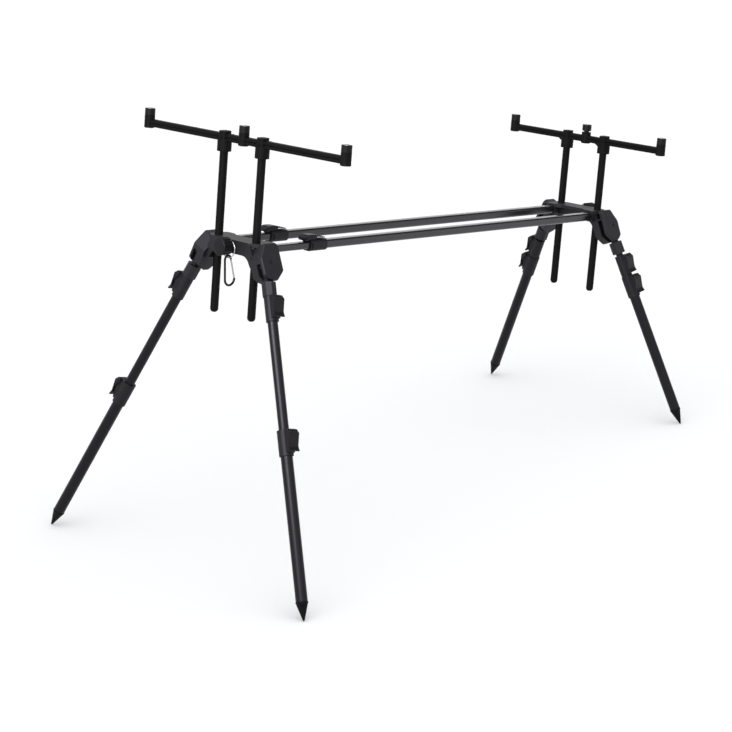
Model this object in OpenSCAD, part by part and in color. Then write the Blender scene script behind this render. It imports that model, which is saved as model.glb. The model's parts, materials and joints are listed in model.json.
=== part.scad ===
// Telescopic rod pod: two moulded hubs joined by a pair of telescopic rails, four folding
// telescopic legs, and a buzz bar with three alarm bosses on a pair of uprights at each end.
// Lengths are in millimetres. The pod stands on its four spikes, +X from the long-legged end
// to the short-legged end, +Y to the left and +Z up, with the ground at z = 0.
// It is drawn in the rail frame, whose x starts at the near uprights and whose z = 0 is the
// rails' centre line, and is then tilted until all four spikes reach the ground.

/* [Rails] */
// Distance between the planes of the near and far uprights
span = 976; // [900:1:1300]
// Distance between the centre lines of the two rails
rail_spacing = 96; // [92:1:104]
// Width of the outer rail tube
rail_w = 18; // [16:0.5:19]
// Height of the outer rail tube
rail_h = 15.5; // [14:0.5:17]
// Wall of both rail tubes
rail_wall = 1.2; // [1:0.1:1.6]
// Corner radius of the outer rail tube
rail_round = 4; // [3:0.5:5]
// Play around the inner rail tube
rail_play = 0.3; // [0.3:0.05:0.5]
// Length of the inner rail tubes
inner_rail_len = 790; // [650:5:820]
// Bare inner rail between the near hub's uprights and the rail collars
rail_bare = 124; // [112:1:180]

/* [Rail collars] */
// Length of a rail collar
rail_collar_len = 40; // [36:1:50]
// Wall of a rail collar
rail_collar_wall = 2.6; // [2:0.1:3.2]
// Length of the rail lever behind its pin
rail_lever_len = 46; // [42:1:50]

/* [Hubs] */
// Height of a hub's crown above the rails' centre line
hub_top = 12; // [11.5:0.1:13]
// Reach of a hub past its uprights, away from the rails
hub_out = 17.5; // [17:0.5:19]
// Reach of a hub past its uprights, along the rails
hub_in = 33; // [31:0.5:36]
// Depth of the arch's roof below the rails' centre line
arch_z = 11.5; // [11:0.1:12.5]
// Reach of a hub's waist past its uprights, along the rails
hub_waist = 25; // [24:0.5:28]

/* [Uprights] */
// Diameter of an upright
upright_d = 14.5; // [12:0.5:14.5]
// Wall of an upright tube
upright_wall = 1.3; // [1:0.1:2]
// Length of an upright
upright_len = 299; // [260:1:340]
// Distance between the two uprights of a hub
upright_spacing = 92; // [88:1:94]
// Height of the near clamps above the rails' centre line
near_rest_z = 157; // [100:1:190]
// Height of the far clamps above the rails' centre line
far_rest_z = 126; // [100:1:190]
// Play around an upright in its hub
sleeve_play = 0.3; // [0.3:0.05:0.4]

/* [Buzz bars] */
// Distance from the near bar's middle to its outer bosses
near_bar_half = 238; // [150:1:280]
// Distance from the far bar's middle to its outer bosses
far_bar_half = 184; // [130:1:280]
// Width and height of a bar
bar_w = 13.1; // [12:0.1:13.5]
// Height of a bar's centre line above the bottom of its clamps
bar_z = 24; // [23:0.5:27]
// Diameter of a clamp's sleeve
clamp_d = 25; // [22:0.5:26]
// Height of a clamp's sleeve
clamp_sleeve_h = 21.5; // [19:0.5:22]
// Height of a clamp with its head
clamp_h = 35; // [33:0.5:38]
// Width of a clamp's head along the bar
clamp_head_w = 16.5; // [15:0.5:19]
// Depth of a clamp's head across the bar
clamp_head_d = 19; // [17:0.5:21]

/* [Alarm bosses] */
// Diameter of a boss
boss_d = 18.5; // [16:0.5:19]
// Height of a boss's foot above the bottom of the clamps
boss_foot = 14.8; // [13.5:0.2:16]
// Height of a boss's joint with its adaptor above the bottom of the clamps
boss_joint = 37; // [35:0.5:40]
// Height of an adaptor
adaptor_h = 12.4; // [10:0.2:15]
// Diameter of an adaptor's stud
stud_d = 10; // [9.5:0.1:10.5]
// Length of an adaptor's stud
stud_len = 5; // [4.5:0.5:6]
// Diameter of the tapped hole for a bite alarm
alarm_hole_d = 8.4; // [8:0.1:8.6]
// How far the far centre adaptor is screwed out
adaptor_out = 3; // [0:0.1:3.5]

/* [Leg hinges] */
// Place of a leg's pin along the rails, from the uprights
pivot_x = -3.6; // [-6:0.1:0]
// Distance of a leg's pin from the pod's middle plane
pivot_y = 77.2; // [76.5:0.1:80]
// Height of a leg's pin against the rails' centre line
pivot_z = -18.3; // [-21:0.1:-18]
// Sideways splay of a leg
splay = 24.1; // [20:0.1:27]
// Endwise lean of an open leg
lean = 10.1; // [4:0.1:14]
// Width of the slot between a hinge's two cheeks
slot_w = 9.4; // [9:0.2:10]
// Thickness of an outer cheek
cheek_t = 5.4; // [4.6:0.2:6]
// Thickness of an inner cheek
inner_cheek_t = 15; // [14:0.5:15.5]
// Diameter of a hinge pin
pin_d = 8; // [6:0.5:9]
// Radius of a knuckle's eye
eye_r = 11; // [10:0.5:12]
// Width of a knuckle's octagonal stub across its flats
stub_w = 24.4; // [22:0.2:25]
// Distance from the pin to the stub
stub_start = 34; // [33.5:0.5:40]
// Distance from the pin to the stub's end
stub_end = 58; // [55:0.5:66]

/* [Legs] */
// Diameter of a leg's inner tube
inner_d = 14; // [13:0.1:14.4]
// Diameter of a leg's middle tube
mid_d = 17.6; // [17.4:0.1:18]
// Diameter of a leg's lower tube
low_d = 20.4; // [20.4:0.1:21.5]
// Play between a leg tube and the tube that it slides in
tube_play = 0.3; // [0.3:0.05:0.4]
// Wall of the inner tube
inner_wall = 1.2; // [1:0.1:1.6]
// Free length of an inner tube below its stub
inner_len = 300; // [250:1:310]
// Length of a middle section from the top of its lock
mid_len = 312; // [280:1:320]
// Length of a lower section from the top of its lock to the spike's point
low_len = 320; // [315:1:380]
// Length of a spike
spike_len = 30; // [24:1:36]
// Radius of a spike's point
tip_r = 1.5; // [1:0.1:2.5]
// How far the near legs' middle sections are pulled out
near_mid_out = 0; // [0:1:150]
// How far the near legs' lower sections are pulled out
near_low_out = 187; // [0:1:200]
// How far the far legs' middle sections are pulled out
far_mid_out = 5; // [0:1:150]
// How far the far legs' lower sections are pulled out
far_low_out = 0; // [0:1:200]

/* [Leg locks] */
// Height of a lock's collar
lock_h = 44; // [42:1:48]
// Wall of a lock's collar
lock_wall = 2.2; // [1.8:0.1:2.4]
// Length of a lock's clamping jaw above the tube's end
jaw_h = 15; // [13:0.5:18]
// Depth of a lock's ears beyond the collar
ear_depth = 9; // [8.5:0.5:11]
// Width of a lock's ears
ear_w = 17; // [14:0.5:17.5]
// Diameter of a lever's pin
lever_pin_d = 3; // [2.5:0.1:4]
// Length of a lever below its pin
lever_len = 34; // [28:1:35]
// Thickness of a lever
lever_t = 2.6; // [2:0.1:3]
// How far a lever's tail leans in towards the leg
lever_lean = 5.5; // [4:0.1:6]

/* [Clamp knobs] */
// Diameter of a knob
knob_d = 31; // [28:0.2:31.6]
// Length of a knob
knob_len = 22; // [16:0.5:26]
// Length of the hub's boss behind a knob
neck_len = 5.2; // [4.8:0.1:6.5]
// Diameter of the hub's boss behind a knob
neck_d = 18; // [16:0.5:18]
// Number of grip flutes on a knob
flutes = 15; // [12:1:18]

/* [Carabiner] */
// Radius of the hanging ring's wire line
ring_r = 15.6; // [15.6:0.1:16.4]
// Diameter of the hanging ring's wire
ring_wire = 2.2; // [2:0.1:2.6]
// Diameter of the carabiner's stock
hook_d = 4; // [3.4:0.1:4.2]
// Radius of the carabiner's upper bow
hook_top_r = 7; // [6:0.1:8]
// Radius of the carabiner's lower bow
hook_low_r = 11; // [10:0.1:13]
// Height of the carabiner
hook_h = 57; // [50:1:62]
// Angle at which the carabiner's spine hangs off the plumb line
hook_hang = 3; // [0:0.5:4]

/* [Hidden] */
$fn = 64;
legs = ["near_left", "near_right", "far_left", "far_right"];
leg_pieces = ["knuckle", "inner_tube", "mid_tube", "mid_collar", "mid_lever",
              "lower_tube", "lower_collar", "lower_lever"];

// Clearances and overlaps that several pieces share
press = 0.05;
running = 0.05;
near_touch = 0.3;
cut = 1;

// Inner rail tube, inside the outer one
inner_rail_w = rail_w - 2 * (rail_wall + rail_play);
inner_rail_h = rail_h - 2 * (rail_wall + rail_play);
inner_rail_round = rail_round - rail_wall - rail_play;
rail_y = rail_spacing / 2;
upright_y = upright_spacing / 2;
// Where a rail's end stops short of the upright
rail_end = upright_d / 2 + sleeve_play + 2.2;
rail_collar_lip = 8;

// Leg tubes
mid_wall = (mid_d - inner_d) / 2 - tube_play;
low_wall = (low_d - mid_d) / 2 - tube_play;
spike_plug = 11;

// Knob
knob_z = 1;
knob_r = knob_d / 2;
knob_end = hub_out + neck_len + knob_len;
knob_stud_d = 8;
knob_stud_len = 16.5;

// Step between the tops of a leg's two locks when pushed in: the locks meet, or else the middle
// tube's end meets the spike's plug
plug_room = low_len - spike_len - spike_plug - near_touch;
lock_step = max(lock_h, mid_len - plug_room);

// The stance: tips of the near and far legs in the rail frame, then the tilt and lift
near_leg_len = stub_end + near_mid_out + lock_step + near_low_out + low_len;
far_leg_len = stub_end + far_mid_out + lock_step + far_low_out + low_len;
function tip_x(len) = pivot_x - (len - tip_r) * sin(lean);
function tip_z(len) = pivot_z - (len - tip_r) * cos(lean) * cos(splay);
stance = span - tip_x(far_leg_len) - tip_x(near_leg_len);
tilt = atan((tip_z(far_leg_len) - tip_z(near_leg_len)) / stance);
lift = tip_r + tip_x(near_leg_len) * sin(tilt) - tip_z(near_leg_len) * cos(tilt);
back_x = tip_x(near_leg_len) * cos(tilt) + tip_z(near_leg_len) * sin(tilt) - tip_r;
front_x = (span + knob_end) * cos(tilt) + (knob_z + knob_r) * sin(tilt);
middle_x = (back_x + front_x) / 2;

// Outline whose corners [x, y, r] are rounded to their own radii
function unit(v) = v / norm(v);
function corner(p, before, after, r, steps) =
    let (a = unit(before - p), b = unit(after - p), half = acos(a * b) / 2,
         turn = 180 - 2 * half, c = p + unit(a + b) * r / sin(half),
         from = p + a * r / tan(half) - c, to = p + b * r / tan(half) - c)
    [for (k = [0 : steps])
        c + (from * sin((1 - k / steps) * turn) + to * sin(k / steps * turn)) / sin(turn)];
function flat(p) = [p[0], p[1]];
function rounded(points, steps = 4) =
    let (n = len(points))
    [for (i = [0 : n - 1],
          q = points[i][2] == 0 ? [flat(points[i])]
              : corner(flat(points[i]), flat(points[(i + n - 1) % n]), flat(points[(i + 1) % n]),
                       points[i][2], steps)) q];
// Half an outline, followed by its mirror image in y, or in x
function with_mirror_y(points) =
    concat(points, [for (i = [len(points) - 1 : -1 : 0]) [points[i][0], -points[i][1], points[i][2]]]);
function with_mirror_x(points) =
    concat(points, [for (i = [len(points) - 1 : -1 : 0]) [-points[i][0], points[i][1], points[i][2]]]);
function box_outline(w, h, r) =
    rounded([[w / 2, h / 2, r], [-w / 2, h / 2, r], [-w / 2, -h / 2, r], [w / 2, -h / 2, r]]);

// Places in the assembly

module stand() { translate([-middle_x, 0, lift]) rotate([0, tilt, 0]) children(); }

module at_far() { translate([span, 0, 0]) mirror([1, 0, 0]) children(); }

module at_end(far) {
    if (far) at_far() children();
    else children();
}

// The left side as drawn, or its mirror image on the right
module on_side(right) {
    if (right) mirror([0, 1, 0]) children();
    else children();
}

module both_sides() {
    children();
    mirror([0, 1, 0]) children();
}

// A leg's hinge on the left: x along the rails, y along the pin, outwards, and z up its slot
module hinge_frame() { translate([pivot_x, pivot_y, pivot_z]) rotate([splay, 0, 0]) children(); }

// The open leg: -z runs down the leg
module leg_frame() { hinge_frame() rotate([0, lean, 0]) children(); }

module leg_place(name) {
    far = name == "far_left" || name == "far_right";
    right = name == "near_right" || name == "far_right";
    stand() at_end(far) on_side(right) leg_frame() children();
}

// Extrudes an outline in x and z along y, from y0 to y1
module slab(y0, y1) { translate([0, y1, 0]) rotate([90, 0, 0]) linear_extrude(y1 - y0) children(); }

// Extrudes an outline in y and z along x, from x0 to x1
module bar_along_x(x0, x1) {
    translate([x0, 0, 0]) rotate([90, 0, 90]) linear_extrude(x1 - x0) children();
}

module tube(d, wall, len) {
    difference() {
        cylinder(d = d, h = len);
        translate([0, 0, -cut]) cylinder(d = d - 2 * wall, h = len + 2 * cut);
    }
}

// Hubs

// Side view of a hinge housing about its pin, x along the rails
cheek_points = [[-4, 33, 3], [23, 33, 4], [28, 27, 3], [27.5, -16.5, 4], [9, -32, 4],
                [-2, -32, 6], [-12.5, -27, 5], [-19.5, -20, 4], [-19.5, 9, 4]];

module cheek_outline() { polygon(rounded(cheek_points)); }

// Space for the knuckle: open below the pin and along the rails, closed above the outer side
slot_play = 0.6;
slot_roof = 14;
slot_reach = 60;
slot_out = slot_w / 2;
slot_in = -slot_out;
housing_in = slot_in - inner_cheek_t;
module leg_slot() {
    wide = slot_w + cut;
    translate([0, slot_out + cut, 0]) rotate([90, 0, 0]) cylinder(r = eye_r + slot_play, h = wide);
    translate([0, slot_in, -slot_reach]) cube([slot_reach, wide, slot_reach + slot_roof]);
    translate([-slot_reach, slot_in, -slot_reach]) cube([slot_reach + cut, wide, slot_reach]);
}

// Bore for a hinge pin, right through its housing
module pin_bore(play) {
    rotate([90, 0, 0]) cylinder(d = pin_d + 2 * play, h = 4 * stub_w, center = true);
}

// Coring pocket above the slot, open towards the rails
pocket_x = 12;
pocket_z = 17;
pocket_h = 11;
module coring_pocket() {
    translate([pocket_x, slot_in, pocket_z]) cube([slot_reach, slot_w - 1.5, pocket_h]);
}

// Top plate: wide over the hinge housings, with lobes over the rails and a waist between them
plate_t = 6.5;
plate_edge_y = 44;
plate_side_y = 63;
plate_side_x = [-7, 19];
lobe_y = [40, 57];
waist_y = 28;
module top_plate() {
    half = [[-hub_out, plate_edge_y, 5], [plate_side_x[0], plate_side_y, 4],
            [plate_side_x[1], plate_side_y, 4], [hub_in, lobe_y[1], 4], [hub_in, lobe_y[0], 4],
            [hub_waist, waist_y, 8]];
    translate([0, 0, hub_top - plate_t]) linear_extrude(plate_t) polygon(rounded(with_mirror_y(half)));
}

// Arched beam under the top plate, seen along the rails
arch_crown_y = 48;
arch_foot_y = [52, 65];
arch_roof_y = 41;
arch_foot_z = -30;
module arch_beam() {
    half = [[arch_crown_y, hub_top - plate_t / 2, 0], [arch_foot_y[1], arch_foot_z, 0],
            [arch_foot_y[0], arch_foot_z, 3], [arch_roof_y, -arch_z, 18]];
    bar_along_x(-hub_out, rail_end + 4) polygon(rounded(with_mirror_x(half)));
}

// Boss round a rail's end, under the top plate
module rail_socket() {
    wall = 2.5;
    translate([0, rail_y, 0])
        bar_along_x(2, hub_in - 0.6) polygon(box_outline(rail_w + 2 * wall, rail_h + 2 * wall, rail_round));
}

// Round sleeve that guides an upright
module sleeve() {
    wall = 2.4;
    translate([0, upright_y, -arch_z - 2])
        cylinder(d = upright_d + 2 * (sleeve_play + wall), h = hub_top + arch_z - 1);
}

// Room for the clamp bar between the outer wall and the uprights, open below
cavity_wall = 3;
cavity_front = 4.8;
cavity_y = 51;
cavity_roof = 6;
module clamp_cavity() {
    depth = 60;
    translate([cavity_wall - hub_out, -cavity_y, -depth])
        cube([hub_out - cavity_wall - cavity_front, 2 * cavity_y, depth + cavity_roof]);
}

// Axis of the knob and its stud, from the hub's outer face along the rails
module knob_axis(from) {
    translate([from - hub_out, 0, knob_z]) rotate([0, 90, 0]) children();
}

module hub(tube_w, tube_h, tube_round) {
    color("#3a3a3c") difference() {
        union() {
            top_plate();
            arch_beam();
            both_sides() {
                hinge_frame() slab(housing_in, slot_out) cheek_outline();
                rail_socket();
                sleeve();
            }
            knob_axis(-neck_len) cylinder(d = neck_d, h = neck_len + cavity_wall / 2);
        }
        clamp_cavity();
        both_sides() {
            translate([0, upright_y, 0])
                cylinder(d = upright_d + 2 * sleeve_play, h = upright_len, center = true);
            translate([0, rail_y, 0])
                bar_along_x(rail_end, hub_in + cut)
                    polygon(box_outline(tube_w + 2 * press, tube_h + 2 * press, tube_round));
            hinge_frame() leg_slot();
            hinge_frame() coring_pocket();
            hinge_frame() pin_bore(running);
        }
        knob_axis(-neck_len - cut)
            cylinder(d = knob_stud_d + 2 * running, h = neck_len + knob_stud_len + 2 * cut);
    }
}

module near_hub() { stand() hub(inner_rail_w, inner_rail_h, inner_rail_round); }

module far_hub() { stand() at_far() hub(rail_w, rail_h, rail_round); }

// Outer cheek: a plate with a bevelled rim, bored for the pin
module outer_cheek() {
    bevel = 1.6;
    difference() {
        hull() {
            slab(slot_out, slot_out + cheek_t - bevel) cheek_outline();
            slab(slot_out, slot_out + cheek_t) offset(delta = -bevel) cheek_outline();
        }
        pin_bore(running);
    }
}

module outer_cheeks(far) {
    color("#3e3e40") stand() at_end(far) both_sides() hinge_frame() outer_cheek();
}

// Bar that the knob's stud draws against both uprights
clamp_bar_h = 9;
module clamp_bar(far) {
    back = cavity_wall + 1.8;
    front = hub_out - cavity_front - 0.8;
    half = cavity_y - 1;
    color("#4a4a4c") stand() at_end(far) difference() {
        translate([back - hub_out, -half, knob_z - clamp_bar_h / 2])
            cube([front - back, 2 * half, clamp_bar_h]);
        both_sides() translate([0, upright_y, 0])
            cylinder(d = upright_d + 2 * near_touch, h = upright_len, center = true);
        knob_axis(0) cylinder(d = knob_stud_d + 2 * running, h = hub_out);
    }
}

// Rails

module rail_tube(w, h, r, x0, x1) {
    difference() {
        bar_along_x(x0, x1) polygon(box_outline(w, h, r));
        bar_along_x(x0 - cut, x1 + cut)
            polygon(box_outline(w - 2 * rail_wall, h - 2 * rail_wall, max(r - rail_wall, 0.8)));
    }
}

module inner_rails() {
    color("#2e2e30") stand() both_sides() translate([0, rail_y, 0])
        rail_tube(inner_rail_w, inner_rail_h, inner_rail_round, rail_end, rail_end + inner_rail_len);
}

module outer_rails() {
    color("#343436") stand() both_sides() translate([0, rail_y, 0])
        rail_tube(rail_w, rail_h, rail_round, rail_bare + rail_collar_lip, span - rail_end);
}

// Rail collars, with a flip lever whose pin lies over the near edge

rail_collar_w = rail_w + 2 * rail_collar_wall;
rail_collar_h = rail_h + 2 * rail_collar_wall;
rail_ear_w = 12;
rail_nose_r = 4.4;
// The ear reaches out over the bare rail
rail_nose_reach = 10;
rail_pin_x = rail_bare - rail_nose_reach;
rail_pin_z = rail_collar_h / 2 + 2.6;

module rail_collar() {
    scoop_r = 26;
    difference() {
        union() {
            bar_along_x(rail_bare, rail_bare + rail_collar_len)
                polygon(box_outline(rail_collar_w, rail_collar_h, rail_round + rail_collar_wall));
            slab(-rail_ear_w / 2, rail_ear_w / 2)
                polygon([[rail_pin_x, rail_pin_z - rail_nose_r], [rail_pin_x, rail_pin_z + rail_nose_r],
                         [rail_bare + 10, rail_collar_h / 2 - 1], [rail_bare, rail_collar_h / 2 - 3]]);
            translate([rail_pin_x, 0, rail_pin_z]) rotate([90, 0, 0])
                cylinder(r = rail_nose_r, h = rail_ear_w, center = true);
        }
        bar_along_x(rail_bare + rail_collar_lip, rail_bare + rail_collar_len + cut)
            polygon(box_outline(rail_w + 2 * press, rail_h + 2 * press, rail_round));
        bar_along_x(0, rail_bare + rail_collar_lip + cut)
            polygon(box_outline(inner_rail_w + 2 * rail_play, inner_rail_h + 2 * rail_play,
                                inner_rail_round));
        translate([rail_bare + 5 - scoop_r, 0, -1]) rotate([90, 0, 0]) scoop(scoop_r);
        translate([rail_pin_x, 0, rail_pin_z]) rotate([90, 0, 0])
            cylinder(d = lever_pin_d + 2 * running, h = 2 * rail_ear_w, center = true);
    }
}

// Round bite out of a collar's near edge, on both flanks
module scoop(r) {
    for (side = [-1, 1])
        translate([0, 0, side * rail_collar_w / 2 - rail_collar_wall / 2])
            intersection() {
                cylinder(r = r, h = rail_collar_wall);
                translate([0, -6, 0]) cube([r, 12, rail_collar_wall]);
            }
}

module rail_collars() {
    color("#3a3a3c") stand() both_sides() translate([0, rail_y, 0]) {
        rail_collar();
        translate([rail_pin_x, 0, rail_pin_z]) rotate([90, 0, 0])
            cylinder(d = lever_pin_d, h = rail_ear_w + 2 * lever_t + 2 * near_touch, center = true);
    }
}

// Flip lever: two arms beside the ear, and a bowed plate whose tail stands off the collar
module rail_lever() {
    arm = rail_ear_w / 2 + near_touch;
    wide = arm + lever_t;
    rest = near_touch - rail_pin_z + rail_collar_h / 2;
    len = rail_lever_len;
    pad = rail_nose_reach + 11;
    translate([rail_pin_x, 0, rail_pin_z]) difference() {
        union() {
            slab(-wide, wide)
                polygon([[2, 4.6], [2, 5.8], [10, 6.6], [20, 6], [32, 3.8], [len - 1, 0.6], [len, -0.2],
                         [len - 1, -1], [32, 1.4], [pad + 4, 1.6], [pad + 2, rest], [pad, rest],
                         [10, 3.2]]);
            for (side = [0, 1]) mirror([0, side, 0])
                slab(arm, wide - 0.4) {
                    circle(r = rail_nose_r);
                    polygon([[0, -rail_nose_r], [0, rail_nose_r], [3, 6], [20, 5.6], [pad + 2, rest],
                             [rail_nose_reach - 3, rest]]);
                }
        }
        rotate([90, 0, 0]) cylinder(d = lever_pin_d + 2 * running, h = 4 * rail_ear_w, center = true);
    }
}

module rail_lever_at(right) {
    color("#333335") stand() on_side(right) translate([0, rail_y, 0]) rail_lever();
}

// Uprights, clamps and buzz bars

module upright() {
    r = upright_d / 2;
    bore = r - upright_wall;
    plug = 12;
    rotate_extrude()
        polygon(rounded([[0, 0, 0], [r, 0, r - 1], [r, upright_len, 0], [bore, upright_len, 0],
                         [bore, plug, 0], [0, plug, 0]]));
}

module rest_place(far) {
    stand() at_end(far) translate([0, 0, far ? far_rest_z : near_rest_z]) children();
}

clamp_seat = bar_z - bar_w / 2 - 1;

module uprights(far) {
    color("#1d1d1f") rest_place(far) both_sides()
        translate([0, upright_y, clamp_seat - upright_len]) upright();
}

// Bar section: rounded, with a groove along each flank
module bar_section(grow) {
    half = bar_w / 2 + grow;
    r = 2.5;
    groove = 1.1;
    polygon(rounded([[half, half, r], [-half, half, r], [-half, groove, 0], [groove - half, 0, 0],
                     [-half, -groove, 0], [-half, -half, r], [half, -half, r], [half, -groove, 0],
                     [half - groove, 0, 0], [half, groove, 0]]));
}

module clamp(gusset) {
    difference() {
        union() {
            cylinder(d = clamp_d, h = clamp_sleeve_h);
            translate([0, 0, clamp_sleeve_h - 7]) linear_extrude(clamp_h - clamp_sleeve_h + 7)
                polygon(box_outline(clamp_head_d, clamp_head_w, 5));
            if (gusset)
                translate([0, clamp_head_w / 2 - 1, 0]) bar_along_x(-2.5, 2.5)
                    polygon([[0, clamp_seat - 8], [0, clamp_seat + 1], [14, clamp_seat + 1]]);
        }
        translate([0, 0, -cut]) cylinder(d = upright_d + 2 * press, h = clamp_seat + cut);
        translate([0, 0, bar_z]) slab(-30, 30) bar_section(press);
    }
}

module clamps(far) {
    color("#232325") rest_place(far) {
        translate([0, upright_y, 0]) clamp(far);
        translate([0, -upright_y, 0]) clamp(far);
    }
}

// Boss on the bar, tapped from above for its adaptor
module boss() {
    r = boss_d / 2;
    difference() {
        rotate_extrude()
            polygon([[0, boss_foot], [r - 1, boss_foot], [r + 0.3, boss_foot + 1.4], [r, boss_foot + 4],
                     [r, boss_joint], [0, boss_joint]]);
        translate([0, 0, boss_joint - stud_len - 0.5]) cylinder(d = stud_d + 2 * running, h = 20);
    }
}

function bar_half(far) = far ? far_bar_half : near_bar_half;

module buzz_bar(far) {
    half = bar_half(far);
    bar_end = half + 5;
    color("#202022") rest_place(far) {
        translate([0, 0, bar_z]) slab(-bar_end, bar_end) bar_section(0);
        difference() {
            for (y = [-half, 0, half]) translate([0, y, 0]) boss();
            translate([0, 0, bar_z]) slab(-bar_end - press, bar_end + press) bar_section(press);
        }
    }
}

module adaptor(far, place) {
    r = boss_d / 2 - 0.1;
    raised = far && place == 0 ? adaptor_out : 0;
    color("#1c1c1e") rest_place(far)
        translate([0, place * bar_half(far), boss_joint + raised]) difference() {
            rotate_extrude()
                polygon([[0, -stud_len], [stud_d / 2, -stud_len], [stud_d / 2, 0], [r - 0.6, 0], [r, 0.6],
                         [r, adaptor_h - 0.8], [r - 0.8, adaptor_h], [0, adaptor_h]]);
            translate([0, 0, -stud_len - cut]) cylinder(d = alarm_hole_d, h = adaptor_h + stud_len + 2 * cut);
        }
}

// Knobs and carabiner

// Fluted knob with its stud; x runs from the knob's face to the stud's end
module knob() {
    flute_r = 2.1;
    body = knob_len - near_touch;
    color("#3c3c3e") translate([-knob_end, 0, knob_z]) rotate([0, 90, 0]) {
        difference() {
            rotate_extrude()
                polygon(rounded([[0, 0, 0], [knob_r, 0, 2], [knob_r, body, 1], [0, body, 0]]));
            for (i = [0 : flutes - 1]) rotate([0, 0, i * 360 / flutes])
                translate([knob_r + 0.3, 0, 2.5]) cylinder(r = flute_r, h = knob_len, $fn = 24);
        }
        translate([0, 0, body - cut])
            cylinder(d = knob_stud_d, h = cut + near_touch + neck_len + knob_stud_len);
    }
}

module near_knob() { stand() knob(); }

module far_knob() { stand() at_far() knob(); }

ring_x = -hub_out - neck_len / 2;
ring_z = knob_z + neck_d / 2 + near_touch - (ring_r - ring_wire / 2);
// Lowest point of the ring's wire line, which the carabiner hangs from
hang_z = ring_z - ring_r;
// The carabiner's bows and spine, measured from there
hook_crest = ring_wire / 2 + near_touch + hook_d / 2;
hook_top_z = hook_crest - hook_top_r;
hook_low_z = hook_crest + hook_d - hook_h + hook_low_r;
spine_x = -hook_top_r;
hook_low_x = spine_x + hook_low_r;
nose_x = hook_low_x + hook_low_r;
// The spine is turned down a little and let into the ends of both bows
spine_d = hook_d - 0.2;
spine_lap = 0.5;
hinge_x = hook_top_r;

module hanging_ring() {
    color("#b8b8bc") stand() translate([ring_x, 0, ring_z]) rotate([0, 90, 0])
        rotate_extrude() translate([ring_r, 0]) circle(d = ring_wire, $fn = 24);
}

module hook_place() {
    stand() translate([ring_x, 0, hang_z]) rotate([0, hook_hang - tilt, 0]) children();
}

// Half a bow of the carabiner in the x-z plane
module bow(r, up) {
    rotate([up ? 90 : -90, 0, 0]) rotate_extrude(angle = 180)
        translate([r, 0]) circle(d = hook_d, $fn = 24);
}

module carabiner() {
    color("#141416") hook_place() {
        translate([0, 0, hook_top_z]) bow(hook_top_r, true);
        translate([hook_low_x, 0, hook_low_z]) bow(hook_low_r, false);
        translate([spine_x, 0, hook_low_z - spine_lap])
            cylinder(d = spine_d, h = hook_top_z - hook_low_z + 2 * spine_lap, $fn = 24);
    }
}

gate_gap = 0.4;
gate_dx = nose_x - hinge_x;
gate_dz = hook_top_z - hook_low_z;
gate_lean = atan(gate_dx / gate_dz);
gate_full = norm([gate_dx, gate_dz]);
module carabiner_gate() {
    gate_d = hook_d - 0.8;
    trim = gate_gap + hook_d / 2 * sin(gate_lean);
    color("#b0b0b4") hook_place() translate([hinge_x, 0, hook_top_z]) rotate([0, 180 - gate_lean, 0])
        translate([0, 0, trim]) cylinder(d = gate_d, h = gate_full - 2 * trim, $fn = 24);
}

// Legs, drawn down -z from the pin

// Side view of a knuckle: its eye, its tongue, and a heel that meets the housing's wall when open
module knuckle_outline() {
    half = 6.5;
    foot = -stub_start - 2;
    heel = 14;
    heel_h = 8;
    from = -acos(half / eye_r);
    to = 190;
    steps = 24;
    eye = [for (k = [0 : steps]) let (a = from + k * (to - from) / steps) eye_r * [cos(a), sin(a)]];
    polygon(concat([[half, foot]], eye,
                   [turned(-heel, -near_touch), turned(-heel, -heel_h), [-half, -heel_h - 4],
                    [-half, foot]]));
}

// A point of the hinge frame seen from the open leg
function turned(x, z) = [x * cos(lean) - z * sin(lean), x * sin(lean) + z * cos(lean)];

// Solid end of a stub's bore, where the inner tube stops
stub_floor = 4;

module knuckle() {
    pin_end = slot_out + cheek_t - 0.5;
    color("#3a3a3c") difference() {
        union() {
            slab(slot_in + near_touch, slot_out - near_touch) knuckle_outline();
            translate([0, 0, -stub_end]) rotate([0, 0, 22.5])
                cylinder(d = stub_w / cos(22.5), h = stub_end - stub_start, $fn = 8);
        }
        pin_bore(press);
        translate([0, 0, -stub_end - cut])
            cylinder(d = inner_d + 2 * press, h = stub_end - stub_start + cut - stub_floor);
    }
    color("#6a6a6c") translate([0, pin_end, 0]) rotate([90, 0, 0])
        cylinder(d = pin_d, h = pin_end - housing_in - 1);
}

module inner_tube() {
    top = stub_start + stub_floor + near_touch;
    color("#2a2a2c") translate([0, 0, -stub_end - inner_len])
        tube(inner_d, inner_wall, stub_end + inner_len - top);
}

// A section's tube, from its lock's jaw to its lower end
module section_tube(d, wall, len, shade) {
    color(shade) translate([0, 0, -len]) tube(d, wall, len - jaw_h);
}

// Spike with a plug in the lower tube's end and a round point
module spike() {
    r = low_d / 2;
    plug_r = r - low_wall - press;
    color("#262628") translate([0, 0, -low_len]) rotate_extrude()
        polygon(concat([for (k = [0 : 6]) let (t = k * 75 / 6) [tip_r * sin(t), tip_r - tip_r * cos(t)]],
                       [[r, spike_len], [plug_r, spike_len], [plug_r, spike_len + spike_plug],
                        [0, spike_len + spike_plug]]));
}

function lock_r(d) = d / 2 + lock_wall;
// The ears' outer corner is round about the lever's pin, so that the lever can turn over it
ear_round = 4.6;
function lever_pin_y(d) = lock_r(d) + ear_depth - ear_round;
lever_pin_z = -ear_round;

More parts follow.
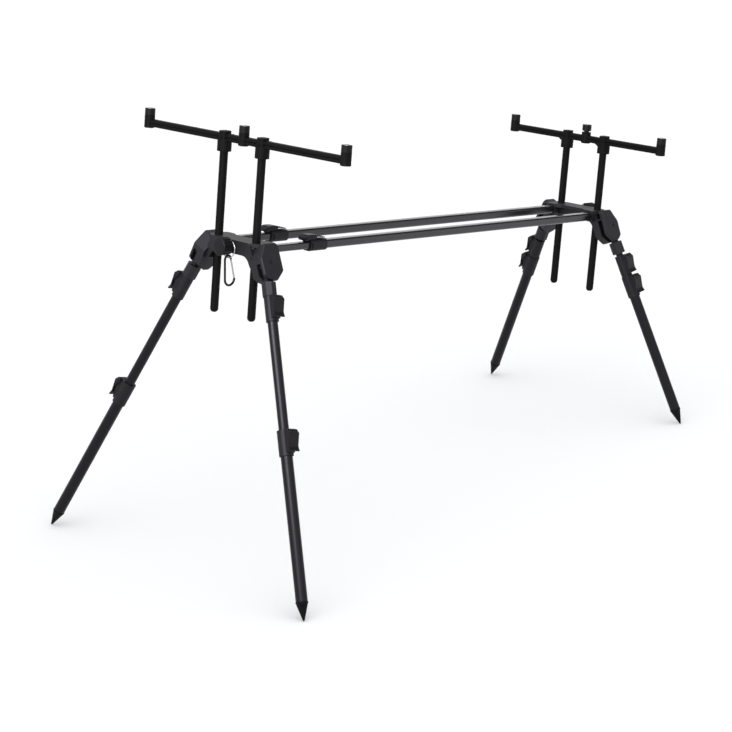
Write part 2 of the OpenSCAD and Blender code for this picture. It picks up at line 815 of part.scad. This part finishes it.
// Lock collar: a sleeve on the outer tube, slit above it to grip the inner tube, with a wedge
// of two ears on the outer side
module lock_collar(d, inner) {
    r = lock_r(d);
    slit = 2;
    color("#3a3a3c") difference() {
        union() {
            translate([0, 0, -lock_h]) cylinder(r = r, h = lock_h);
            bar_along_x(-ear_w / 2, ear_w / 2)
                polygon(rounded([[0, 0, 0], [0, -lock_h + 3, 0], [r, -lock_h + 5, 0], [r + ear_depth, -10, 0],
                                 [r + ear_depth, 0, ear_round]], 8));
        }
        translate([0, 0, -lock_h - cut]) cylinder(d = d + 2 * press, h = lock_h - jaw_h + cut);
        translate([0, 0, -jaw_h - cut]) cylinder(d = inner + 2 * tube_play, h = jaw_h + 2 * cut);
        translate([-slit / 2, 0, -jaw_h]) cube([slit, r + ear_depth + cut, jaw_h + cut]);
        lever_pin(d, 2 * ear_w, running);
    }
    color("#77777a") lever_pin(d, ear_w + 2 * lever_t + 2 * near_touch, 0);
}

module lever_pin(d, len, play) {
    translate([0, lever_pin_y(d), lever_pin_z]) rotate([0, 90, 0])
        cylinder(d = lever_pin_d + 2 * play, h = len, center = true, $fn = 32);
}

// Flip lever: two arms beside the ears, a plate down the wedge and a flared finger tab
module lock_lever(d) {
    y = lever_pin_y(d);
    z = lever_pin_z;
    arm = ear_w / 2 + near_touch;
    arm_r = 4.4;
    arm_foot = 16;
    face = lock_r(d) + ear_depth + near_touch;
    outer = face + lever_t;
    tip = z - lever_len;
    bend = tip + 8;
    color("#333335") difference() {
        union() {
            bar_along_x(-arm - lever_t, arm + lever_t)
                polygon(rounded([[face, z - 1, 0], [outer, z - 3, 2], [outer - lever_lean, bend, 12],
                                 [outer - lever_lean + 2.5, tip, 0.8], [face - lever_lean + 2, tip, 0.8],
                                 [face - lever_lean, bend, 8], [face, z - 8, 0]]));
            for (side = [0, 1]) mirror([side, 0, 0])
                bar_along_x(arm, arm + lever_t) {
                    translate([y, z]) circle(r = arm_r);
                    polygon([[y - arm_r, z], [y, z + arm_r], [face + 1, z - 1], [face + 1, z - 8],
                             [face - 1.2, z - arm_foot], [face - 2.6, z - arm_foot]]);
                }
        }
        lever_pin(d, 4 * ear_w, running);
    }
}

function mid_top(name) = stub_end + (name == "far_left" || name == "far_right" ? far_mid_out : near_mid_out);
function low_top(name) =
    mid_top(name) + lock_step + (name == "far_left" || name == "far_right" ? far_low_out : near_low_out);

module leg_piece(name, piece) {
    leg_place(name) {
        if (piece == "knuckle") knuckle();
        if (piece == "inner_tube") inner_tube();
        translate([0, 0, -mid_top(name)]) {
            if (piece == "mid_tube") section_tube(mid_d, mid_wall, mid_len, "#2c2c2e");
            if (piece == "mid_collar") lock_collar(mid_d, inner_d);
            if (piece == "mid_lever") lock_lever(mid_d);
        }
        translate([0, 0, -low_top(name)]) {
            if (piece == "lower_tube") {
                section_tube(low_d, low_wall, low_len - spike_len, "#2a2a2c");
                spike();
            }
            if (piece == "lower_collar") lock_collar(low_d, mid_d);
            if (piece == "lower_lever") lock_lever(low_d);
        }
    }
}

near_hub();
far_hub();
outer_cheeks(false);  // near_outer_cheeks
outer_cheeks(true);  // far_outer_cheeks
clamp_bar(false);  // near_clamp_bar
clamp_bar(true);  // far_clamp_bar
inner_rails();
outer_rails();
rail_collars();
rail_lever_at(false);  // rail_lever_left
rail_lever_at(true);  // rail_lever_right
uprights(false);  // near_uprights
uprights(true);  // far_uprights
clamps(false);  // near_clamps
clamps(true);  // far_clamps
buzz_bar(false);  // near_buzz_bar
buzz_bar(true);  // far_buzz_bar
adaptor(false, 1);  // near_adaptor_left
adaptor(false, 0);  // near_adaptor_centre
adaptor(false, -1);  // near_adaptor_right
adaptor(true, 1);  // far_adaptor_left
adaptor(true, 0);  // far_adaptor_centre
adaptor(true, -1);  // far_adaptor_right
near_knob();
far_knob();
hanging_ring();
carabiner();
carabiner_gate();
for (name = legs, piece = leg_pieces)
    leg_piece(name, piece);
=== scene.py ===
"""Looks of the rod pod: camera, light, materials and the small pieces that dress the CAD frame."""
import json
import math

import bmesh
import bpy
from mathutils import Matrix, Vector


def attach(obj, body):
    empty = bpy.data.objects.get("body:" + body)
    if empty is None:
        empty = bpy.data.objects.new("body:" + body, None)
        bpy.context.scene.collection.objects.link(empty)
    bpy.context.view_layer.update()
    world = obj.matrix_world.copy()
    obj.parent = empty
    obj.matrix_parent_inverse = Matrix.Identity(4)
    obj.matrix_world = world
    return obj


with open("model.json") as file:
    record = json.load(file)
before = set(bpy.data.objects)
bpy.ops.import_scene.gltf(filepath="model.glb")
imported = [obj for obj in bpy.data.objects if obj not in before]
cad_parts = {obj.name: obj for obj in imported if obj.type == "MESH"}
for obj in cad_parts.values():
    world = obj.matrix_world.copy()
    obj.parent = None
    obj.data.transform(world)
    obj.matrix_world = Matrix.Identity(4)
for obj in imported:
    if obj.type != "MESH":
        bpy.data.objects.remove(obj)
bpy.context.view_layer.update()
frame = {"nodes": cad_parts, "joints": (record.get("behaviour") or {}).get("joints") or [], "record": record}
NODES = frame["nodes"]
JOINTS = {j["name"]: j for j in frame["joints"]}
SLOT_OF = {s["node"]: s["material_slot"] for s in frame["record"]["subparts"]}
LEGS = ["near_left", "near_right", "far_left", "far_right"]
ENDS = ["near", "far"]
SPOTS = ["left", "centre", "right"]
HANDS = ["left", "right"]
MM = 0.001
scene = bpy.context.scene
scene.view_settings.view_transform = "Standard"


# Camera, fitted to the photograph

SENSOR = 36
LENS = 108.807
CAMERA_AXES = ((0.676550, 0.244702, -0.694551),
               (-0.736178, 0.201736, -0.646022),
               (-0.017967, 0.948379, 0.316629))
CAMERA_AT = (-2.95529, -2.66319, 1.54885)
FARTHEST = 100


def make_camera():
    cam = bpy.data.cameras.new("camera")
    cam.sensor_width = SENSOR
    cam.lens = LENS
    cam.clip_end = FARTHEST
    ob = bpy.data.objects.new("camera", cam)
    scene.collection.objects.link(ob)
    where = Matrix(CAMERA_AXES).to_4x4()
    where.translation = CAMERA_AT
    ob.matrix_world = where
    scene.camera = ob


# Studio: a white surround, one wide lamp overhead, one strip for the highlights, a plain pale floor

ROOM_LIGHT = 0.62
ROOM_TINT = (0.97, 0.985, 1, 1)
WHITE = (1, 1, 1, 1)
# A dark side of the room, seen only in reflections, that draws the line along the rails' edges
DARK_WAY = (0.71, -0.27, 0.65)
DARK_INNER, DARK_OUTER = math.radians(20), math.radians(34)
DARK_LEVEL = 0.02
SUN_ENERGY = 1.5
SUN_SPREAD = math.radians(100)
SUN_TURN = (math.radians(18), math.radians(-14), 0)
STRIP_LONG, STRIP_WIDE = 1.6, 0.4
STRIP_ENERGY = 50
STRIP_AIM = Vector((-0.463, -0.137, 0.397))
STRIP_WAY = Vector((-0.770, -0.174, 0.614))
STRIP_AWAY = 1.8
FLOOR_SIZE = 60
FLOOR_DROP = 0.5 * MM
FLOOR_GREY = (0.985, 0.985, 0.985, 1)
FLOOR_ROUGH = 0.9
FLOOR_CLOUDS = 3


def make_world():
    world = bpy.data.worlds.new("studio")
    scene.world = world
    world.use_nodes = True
    nt = world.node_tree
    nt.nodes.clear()
    out = nt.nodes.new("ShaderNodeOutputWorld")
    path = nt.nodes.new("ShaderNodeLightPath")
    seen = nt.nodes.new("ShaderNodeMath")
    seen.operation = "MAXIMUM"
    light = nt.nodes.new("ShaderNodeBackground")
    light.inputs["Color"].default_value = ROOM_TINT
    light.inputs["Strength"].default_value = ROOM_LIGHT
    sheen = nt.nodes.new("ShaderNodeBackground")
    sheen.inputs["Color"].default_value = WHITE
    white = nt.nodes.new("ShaderNodeBackground")
    white.inputs["Color"].default_value = WHITE
    white.inputs["Strength"].default_value = 1
    coord = nt.nodes.new("ShaderNodeTexCoord")
    along = nt.nodes.new("ShaderNodeVectorMath")
    along.operation = "DOT_PRODUCT"
    along.inputs[1].default_value = DARK_WAY
    shade = nt.nodes.new("ShaderNodeMapRange")
    shade.inputs["From Min"].default_value = math.cos(DARK_OUTER)
    shade.inputs["From Max"].default_value = math.cos(DARK_INNER)
    shade.inputs["To Min"].default_value = 1
    shade.inputs["To Max"].default_value = DARK_LEVEL
    dull = nt.nodes.new("ShaderNodeMixShader")
    mix = nt.nodes.new("ShaderNodeMixShader")
    link = nt.links.new
    link(coord.outputs["Generated"], along.inputs[0])
    link(along.outputs["Value"], shade.inputs["Value"])
    link(shade.outputs[0], sheen.inputs["Strength"])
    link(path.outputs["Is Glossy Ray"], dull.inputs[0])
    link(light.outputs[0], dull.inputs[1])
    link(sheen.outputs[0], dull.inputs[2])
    link(path.outputs["Is Camera Ray"], seen.inputs[0])
    link(path.outputs["Is Transmission Ray"], seen.inputs[1])
    link(seen.outputs[0], mix.inputs[0])
    link(dull.outputs[0], mix.inputs[1])
    link(white.outputs[0], mix.inputs[2])
    link(mix.outputs[0], out.inputs["Surface"])


def make_lights():
    sun = bpy.data.lights.new("overhead", "SUN")
    sun.energy = SUN_ENERGY
    sun.angle = SUN_SPREAD
    ob = bpy.data.objects.new("overhead", sun)
    scene.collection.objects.link(ob)
    ob.rotation_euler = SUN_TURN
    strip = bpy.data.lights.new("strip", "AREA")
    strip.shape = "RECTANGLE"
    strip.size = STRIP_LONG
    strip.size_y = STRIP_WIDE
    strip.energy = STRIP_ENERGY
    ob = bpy.data.objects.new("strip", strip)
    scene.collection.objects.link(ob)
    ob.location = STRIP_AIM + STRIP_AWAY * STRIP_WAY
    ob.rotation_euler = (-STRIP_WAY).to_track_quat("-Z", "Y").to_euler()
    # The strip only shows in reflections, so that it adds no light to the colours
    ob.visible_camera = False
    ob.visible_diffuse = False


def make_floor():
    bpy.ops.mesh.primitive_plane_add(size=FLOOR_SIZE, location=(0, 0, -FLOOR_DROP))
    floor = bpy.context.object
    floor.name = "floor"
    mat = bpy.data.materials.new("floor_white")
    mat.use_nodes = True
    nt = mat.node_tree
    bsdf = nt.nodes["Principled BSDF"]
    bsdf.inputs["Roughness"].default_value = FLOOR_ROUGH
    bsdf.inputs["Specular IOR Level"].default_value = 0
    noise = nt.nodes.new("ShaderNodeTexNoise")
    noise.inputs["Scale"].default_value = FLOOR_CLOUDS
    ramp = nt.nodes.new("ShaderNodeValToRGB")
    ramp.color_ramp.elements[0].color = FLOOR_GREY
    ramp.color_ramp.elements[1].color = WHITE
    nt.links.new(noise.outputs["Fac"], ramp.inputs[0])
    nt.links.new(ramp.outputs[0], bsdf.inputs["Base Color"])
    floor.data.materials.append(mat)


# Materials

CLOUD_SCALE = 38
CLOUD_DETAIL = 5
FINE_DETAIL = 3
RAMP_FROM, RAMP_TO = 0.3, 0.75
RELIEF_DEPTH = 0.06 * MM
ROUGH_SPREAD = 0.08
COAT_ROUGH = 0.2
VIOLET = (0.90, 0.87, 1, 1)


def surface(name, dark, light, rough, specular=0.5, grain=1400, bump=0.15, metal=0, coat=0, tint=WHITE):
    """A mottled, finely grained finish between two levels of grey, with a tint on colour and sheen."""
    mat = bpy.data.materials.new(name)
    mat.use_nodes = True
    nt = mat.node_tree
    link = nt.links.new
    bsdf = nt.nodes["Principled BSDF"]
    bsdf.inputs["Metallic"].default_value = metal
    bsdf.inputs["Specular IOR Level"].default_value = specular
    bsdf.inputs["Specular Tint"].default_value = tint
    bsdf.inputs["Coat Weight"].default_value = coat
    bsdf.inputs["Coat Roughness"].default_value = COAT_ROUGH
    coord = nt.nodes.new("ShaderNodeTexCoord")
    cloud = nt.nodes.new("ShaderNodeTexNoise")
    cloud.inputs["Scale"].default_value = CLOUD_SCALE
    cloud.inputs["Detail"].default_value = CLOUD_DETAIL
    fine = nt.nodes.new("ShaderNodeTexNoise")
    fine.inputs["Scale"].default_value = grain
    fine.inputs["Detail"].default_value = FINE_DETAIL
    link(coord.outputs["Object"], cloud.inputs["Vector"])
    link(coord.outputs["Object"], fine.inputs["Vector"])
    ramp = nt.nodes.new("ShaderNodeValToRGB")
    ramp.color_ramp.elements[0].position = RAMP_FROM
    ramp.color_ramp.elements[1].position = RAMP_TO
    ramp.color_ramp.elements[0].color = [dark * t for t in tint[:3]] + [1]
    ramp.color_ramp.elements[1].color = [light * t for t in tint[:3]] + [1]
    link(cloud.outputs["Fac"], ramp.inputs[0])
    link(ramp.outputs[0], bsdf.inputs["Base Color"])
    spread = nt.nodes.new("ShaderNodeMapRange")
    spread.inputs["To Min"].default_value = rough - ROUGH_SPREAD
    spread.inputs["To Max"].default_value = rough + ROUGH_SPREAD
    link(fine.outputs["Fac"], spread.inputs["Value"])
    link(spread.outputs[0], bsdf.inputs["Roughness"])
    relief = nt.nodes.new("ShaderNodeBump")
    relief.inputs["Strength"].default_value = bump
    relief.inputs["Distance"].default_value = RELIEF_DEPTH
    link(fine.outputs["Fac"], relief.inputs["Height"])
    link(relief.outputs[0], bsdf.inputs["Normal"])
    return mat


FINISHES = {
    "hub_plastic": dict(dark=0.008, light=0.012, rough=0.5, specular=0.3, grain=1100, bump=0.35,
                        tint=VIOLET),
    "lock_plastic": dict(dark=0.005, light=0.009, rough=0.5, specular=0.24, grain=1200, bump=0.3,
                         tint=VIOLET),
    "lever_plastic": dict(dark=0.004, light=0.008, rough=0.4, specular=0.22, grain=1500, bump=0.2,
                          tint=VIOLET),
    "knob_plastic": dict(dark=0.006, light=0.010, rough=0.48, specular=0.2, grain=1200, bump=0.25,
                         tint=VIOLET),
    "rail_anodised": dict(dark=0.005, light=0.008, rough=0.26, specular=0.3, grain=900, bump=0.08,
                          coat=0.6, tint=VIOLET),
    "leg_anodised": dict(dark=0.004, light=0.007, rough=0.34, specular=0.21, grain=900, bump=0.08,
                         tint=VIOLET),
    "matt_black": dict(dark=0.003, light=0.005, rough=0.55, specular=0.08, grain=1600, bump=0.2),
    "adaptor_black": dict(dark=0.003, light=0.006, rough=0.45, specular=0.16, grain=1600),
    "bright_steel": dict(dark=0.50, light=0.62, rough=0.28, grain=700, bump=0.05, metal=1),
    "carabiner_black": dict(dark=0.002, light=0.004, rough=0.3, specular=0.3, grain=900, bump=0.05),
    "grey_alloy": dict(dark=0.36, light=0.44, rough=0.42, grain=900, bump=0.08, metal=0.9),
}
MATS = {name: surface(name, **finish) for name, finish in FINISHES.items()}


def dress_nodes():
    for name, ob in NODES.items():
        mat = MATS[SLOT_OF[name]]
        if ob.material_slots:
            for s in ob.material_slots:
                s.material = mat
        else:
            ob.data.materials.append(mat)


# Places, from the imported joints

def joint_axis(name):
    return Vector(JOINTS[name]["axis"]).normalized()


def joint_pos(name):
    return Vector(JOINTS[name]["pos_m"])


# The rail frame: x along the rails from the near uprights, y to the left, z along the uprights
RAIL_X = -joint_axis("rails_slide")
RAIL_Z = joint_axis("near_rest_lift")
RAIL_Y = RAIL_Z.cross(RAIL_X)
PIVOT_X, PIVOT_Z = -3.6 * MM, -18.3 * MM
NEAR_PINS = (joint_pos("near_left_fold") + joint_pos("near_right_fold")) / 2
FAR_PINS = (joint_pos("far_left_fold") + joint_pos("far_right_fold")) / 2
ORIGIN = NEAR_PINS - PIVOT_X * RAIL_X - PIVOT_Z * RAIL_Z
SPAN = ((FAR_PINS - ORIGIN).dot(RAIL_X) + PIVOT_X) / MM


def rail_point(x, y, z):
    """A point of the rail frame, given in millimetres."""
    return ORIGIN + MM * (x * RAIL_X + y * RAIL_Y + z * RAIL_Z)


NEARLY_ALONG = 0.9


def place(at, z_axis):
    """A matrix at a point whose z runs along z_axis."""
    z = z_axis.normalized()
    hint = RAIL_X if abs(z.dot(RAIL_X)) < NEARLY_ALONG else RAIL_Z
    x = (hint - z * hint.dot(z)).normalized()
    where = Matrix((x, z.cross(x), z)).transposed().to_4x4()
    where.translation = at
    return where


def reach(node, at, axis):
    """How far a node's mesh goes along an axis from a point."""
    return max((v.co - at).dot(axis) for v in NODES[node].data.vertices)


# Mesh pieces, drawn in millimetres

SMOOTH_ANGLE = 35
ROUND_SIDES = 48


def piece(name, verts, faces, where, slot_name, body, sharp=SMOOTH_ANGLE):
    mesh = bpy.data.meshes.new(name)
    mesh.from_pydata([where @ (Vector(v) * MM) for v in verts], [], faces)
    bm = bmesh.new()
    bm.from_mesh(mesh)
    bmesh.ops.recalc_face_normals(bm, faces=bm.faces)
    bm.to_mesh(mesh)
    bm.free()
    mesh.shade_smooth()
    mesh.set_sharp_from_angle(angle=math.radians(sharp))
    ob = bpy.data.objects.new(name, mesh)
    scene.collection.objects.link(ob)
    mesh.materials.append(MATS[slot_name])
    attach(ob, body)


def turned(name, rings, where, slot_name, body, sides=ROUND_SIDES, closed=False):
    """A turned piece: rings of (z, radius), where a radius may be a function of the angle."""
    verts, faces = [], []
    for z, radius in rings:
        for i in range(sides):
            a = 2 * math.pi * i / sides
            r = radius(a) if callable(radius) else radius
            verts.append((r * math.cos(a), r * math.sin(a), z))
    count = len(rings)
    for k in range(count if closed else count - 1):
        low, high = k * sides, (k + 1) % count * sides
        for i in range(sides):
            j = (i + 1) % sides
            faces.append((low + i, low + j, high + j, high + i))
    if not closed:
        faces.append(tuple(range(sides))[::-1])
        faces.append(tuple((count - 1) * sides + i for i in range(sides)))
    piece(name, verts, faces, where, slot_name, body)


def hexagon(flat):
    return lambda a: flat / 2 / math.cos((a + math.pi / 6) % (math.pi / 3) - math.pi / 6)


def knurled(r, teeth, depth):
    return lambda a: r - depth * (0.5 + 0.5 * math.cos(teeth * a))


# Threaded inserts in the adaptors: a bright mouth and the thread below it

HOLE_R = 4.2
INSERT_R = 6.3
INSERT_LIP = 0.7
INSERT_EDGE = 0.35
INSERT_FLARE = 0.75
HAIR = 0.05
PITCH = 1.27
TURNS = 9
TURN_STEPS = 40
THREAD_DEPTH = 0.35
THREAD_HALF = 0.42 * PITCH
THREAD_BELOW = 0.4
THREAD_START = -THREAD_BELOW - PITCH / 2
THREAD_SHARP = 25


def insert(end, spot):
    name = f"{end}_adaptor_{spot}"
    at, axis = joint_pos(f"{name}_turn"), joint_axis(f"{name}_turn")
    where = place(at + axis * reach(name, at, axis), axis)
    mouth = [(0, HOLE_R + HAIR), (0, INSERT_R), (0.6 * INSERT_LIP, INSERT_R),
             (INSERT_LIP, INSERT_R - INSERT_EDGE), (INSERT_LIP, HOLE_R + INSERT_FLARE),
             (0.5 * INSERT_LIP, HOLE_R + HAIR)]
    turned(f"{name}_insert", mouth, where, "bright_steel", name, closed=True)
    wall = HOLE_R - HAIR / 2
    profile = ((wall, THREAD_HALF), (HOLE_R - THREAD_DEPTH, 0), (wall, -THREAD_HALF))
    verts, faces = [], []
    for k in range(TURNS * TURN_STEPS + 1):
        a = 2 * math.pi * k / TURN_STEPS
        z = THREAD_START - PITCH * k / TURN_STEPS
        for r, dz in profile:
            verts.append((r * math.cos(a), r * math.sin(a), z + dz))
    for k in range(TURNS * TURN_STEPS):
        b = 3 * k
        for i, j in ((0, 1), (1, 2), (2, 0)):
            faces.append((b + i, b + j, b + j + 3, b + i + 3))
    last = len(verts)
    faces.append((0, 1, 2))
    faces.append((last - 1, last - 2, last - 3))
    piece(f"{name}_thread", verts, faces, where, "bright_steel", name, THREAD_SHARP)


# Knurled screws that hold the bars in their clamps

REST_Z = {"near": 157, "far": 126}
BAR_Z = 24
UPRIGHT_Y = 46
CLAMP_FACE = 9.5
SCREW_SHANK = [(-0.4, 2.4), (3.2, 2.4)]
SCREW_NECK = [(3.2, 3.6), (3.6, 4.1)]
SCREW_R, SCREW_TEETH, SCREW_GROOVE = 4.6, 24, 0.45
GRIP_FROM, GRIP_TO = 4, 10.4
SCREW_END = [(11.2, 3.9), (11.2, 2.6), (10.8, 2.2)]
SCREW_SIDES = 96


def clamp_screw(end, hand):
    x = CLAMP_FACE + (SPAN if end == "far" else 0)
    y = UPRIGHT_Y if hand == "left" else -UPRIGHT_Y
    where = place(rail_point(x, y, REST_Z[end] + BAR_Z), RAIL_X)
    grip = knurled(SCREW_R, SCREW_TEETH, SCREW_GROOVE)
    rings = [*SCREW_SHANK, *SCREW_NECK, (GRIP_FROM, grip), (GRIP_TO, grip), *SCREW_END]
    turned(f"{end}_clamp_screw_{hand}", rings, where, "grey_alloy", f"{end}_rest", SCREW_SIDES)


# Heads of the hinge pins, with a hexagon socket

PIN_FACE = 9.6
HEAD_RINGS = [(-0.3, 2.8), (0.3, 2.8), (0.6, 2.4), (0.6, 1.9)]
SOCKET_FLATS = 2.6
SOCKET_FROM, SOCKET_TO = 0.5, -0.2


def pin_head(leg):
    at, axis = joint_pos(f"{leg}_fold"), joint_axis(f"{leg}_fold")
    out = axis if axis.y * at.y > 0 else -axis
    socket = hexagon(SOCKET_FLATS)
    rings = [*HEAD_RINGS, (SOCKET_FROM, socket), (SOCKET_TO, socket)]
    turned(f"{leg}_pin_head", rings, place(at + out * PIN_FACE * MM, out), "lock_plastic", f"{leg}_leg")


# Rivet heads on the lever pins

RIVET_RINGS = [(-0.2, 2.5), (0.15, 2.5), (0.45, 2.1), (0.65, 1.4), (0.7, 0.4)]
RIVET_SIDES = 24
LEG_PIN_HALF = 11.4
RAIL_PIN_HALF = 8.9


def rivets(joint, body, half):
    at, axis = joint_pos(joint), joint_axis(joint)
    for label, way in (("a", axis), ("b", -axis)):
        where = place(at + way * half * MM, way)
        turned(f"{joint}_rivet_{label}", RIVET_RINGS, where, "adaptor_black", body, RIVET_SIDES)


# Domed caps on the knobs' faces

CAP_RINGS = [(-0.2, 13.2), (0.1, 13.2), (0.5, 11), (0.8, 8), (0.95, 4), (1, 0.5)]
CAP_SIDES = 64


def knob_cap(end):
    at = joint_pos(f"{end}_knob_turn")
    out = -RAIL_X if end == "near" else RAIL_X
    where = place(at + out * reach(f"{end}_knob", at, out), out)
    turned(f"{end}_knob_cap", CAP_RINGS, where, "knob_plastic", f"{end}_knob", CAP_SIDES)


# Black sheaths on the spikes, with a collar round the tube's end

SPIKE_LEN = 30
SPIKE_TOP_R = 10.2
SPIKE_TIP_R = 1.5
SPIKE_SLOPE = (SPIKE_TOP_R - SPIKE_TIP_R) / (SPIKE_LEN - SPIKE_TIP_R)
SHEATH = 0.15
SHEATH_FROM = 2.5
SHEATH_TO = SPIKE_LEN - 0.4
COLLAR_R = SPIKE_TOP_R + 0.5
COLLAR_UNDER = SPIKE_TOP_R - 0.2
COLLAR_EDGE = SPIKE_LEN + 2.2
COLLAR_TOP = SPIKE_LEN + 2.6
TIP_BAND = 0.3 * MM


def sheath_r(z):
    return SPIKE_TIP_R + SPIKE_SLOPE * (z - SPIKE_TIP_R) + SHEATH


def spike_sheath(leg):
    up = joint_axis(f"{leg}_lower_slide")
    points = [v.co for v in NODES[f"{leg}_lower_tube"].data.vertices]
    low = min(p.dot(up) for p in points)
    ends = [p for p in points if p.dot(up) < low + TIP_BAND]
    tip = sum(ends, Vector()) / len(ends)
    tip += up * (low - tip.dot(up))
    rings = [(SHEATH_FROM, sheath_r(SHEATH_FROM) - 2 * SHEATH), (SHEATH_FROM, sheath_r(SHEATH_FROM)),
             (SHEATH_TO, sheath_r(SHEATH_TO)), (SPIKE_LEN, COLLAR_R), (COLLAR_EDGE, COLLAR_R),
             (COLLAR_TOP, SPIKE_TOP_R + HAIR), (COLLAR_TOP, COLLAR_UNDER), (SPIKE_LEN, COLLAR_UNDER)]
    turned(f"{leg}_spike_sheath", rings, place(tip, up), "matt_black", f"{leg}_lower", closed=True)


def make_details():
    for end in ENDS:
        for spot in SPOTS:
            insert(end, spot)
        for hand in HANDS:
            clamp_screw(end, hand)
        knob_cap(end)
    for leg in LEGS:
        pin_head(leg)
        spike_sheath(leg)
        for section in ("mid", "lower"):
            rivets(f"{leg}_{section}_lever_flip", f"{leg}_{section}", LEG_PIN_HALF)
    for hand in HANDS:
        rivets(f"rail_lever_{hand}_flip", "far_frame", RAIL_PIN_HALF)


make_camera()
make_world()
make_lights()
make_floor()
dress_nodes()
make_details()
